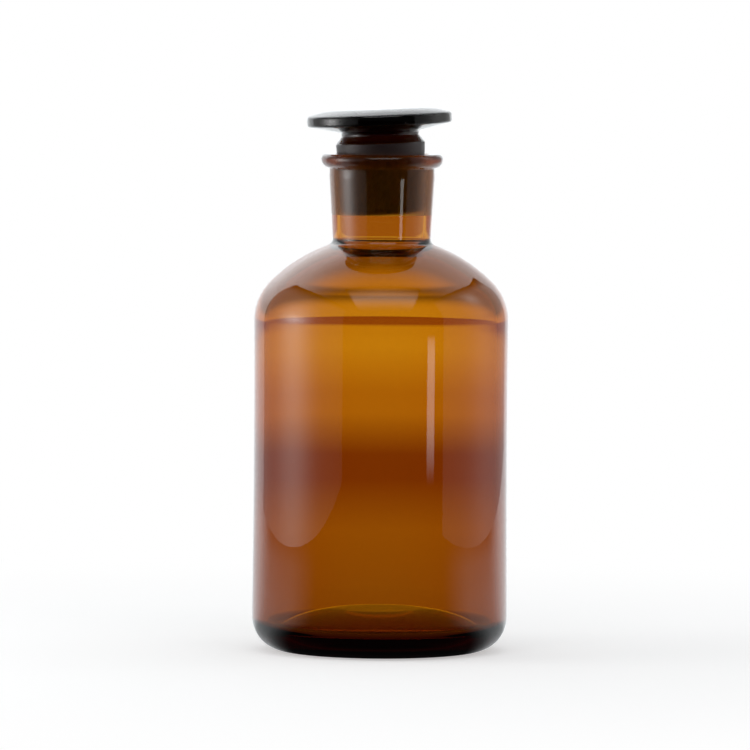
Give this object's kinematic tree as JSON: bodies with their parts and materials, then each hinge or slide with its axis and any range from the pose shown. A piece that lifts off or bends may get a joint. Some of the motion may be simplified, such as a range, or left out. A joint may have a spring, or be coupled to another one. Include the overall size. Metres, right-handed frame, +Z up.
{
  "type": "apothecary jar",
  "caption": "Narrow-mouth amber glass bottle with rounded shoulders and a beaded lip, closed by a flat-headed glass stopper ground into its neck, for storing liquid chemicals.",
  "frame": {"origin": "centre of the foot ring, on the surface that the bottle stands on", "axes": "+Z up along the bottle's axis, through neck and stopper; the seated stopper leans towards -X; -Y is the side that the picture shows"},
  "size_m": [0.0562, 0.0562, 0.1196],
  "materials": {
    "bottle_glass": "clear amber glass, blown, fire-polished outside and in, ground matte inside the neck",
    "stopper_glass": "clear dark amber glass, pressed and polished head, cone ground matte"
  },
  "bodies": {
    "bottle": {"bottle": "bottle_glass"},
    "stopper": {"stopper": "stopper_glass"}
  },
  "joints": [
    {"name": "stopper_lift", "type": "slide", "parent": "bottle", "child": "stopper", "axis": [0, 0, 1], "range_m": [0, 0.04]}
  ]
}
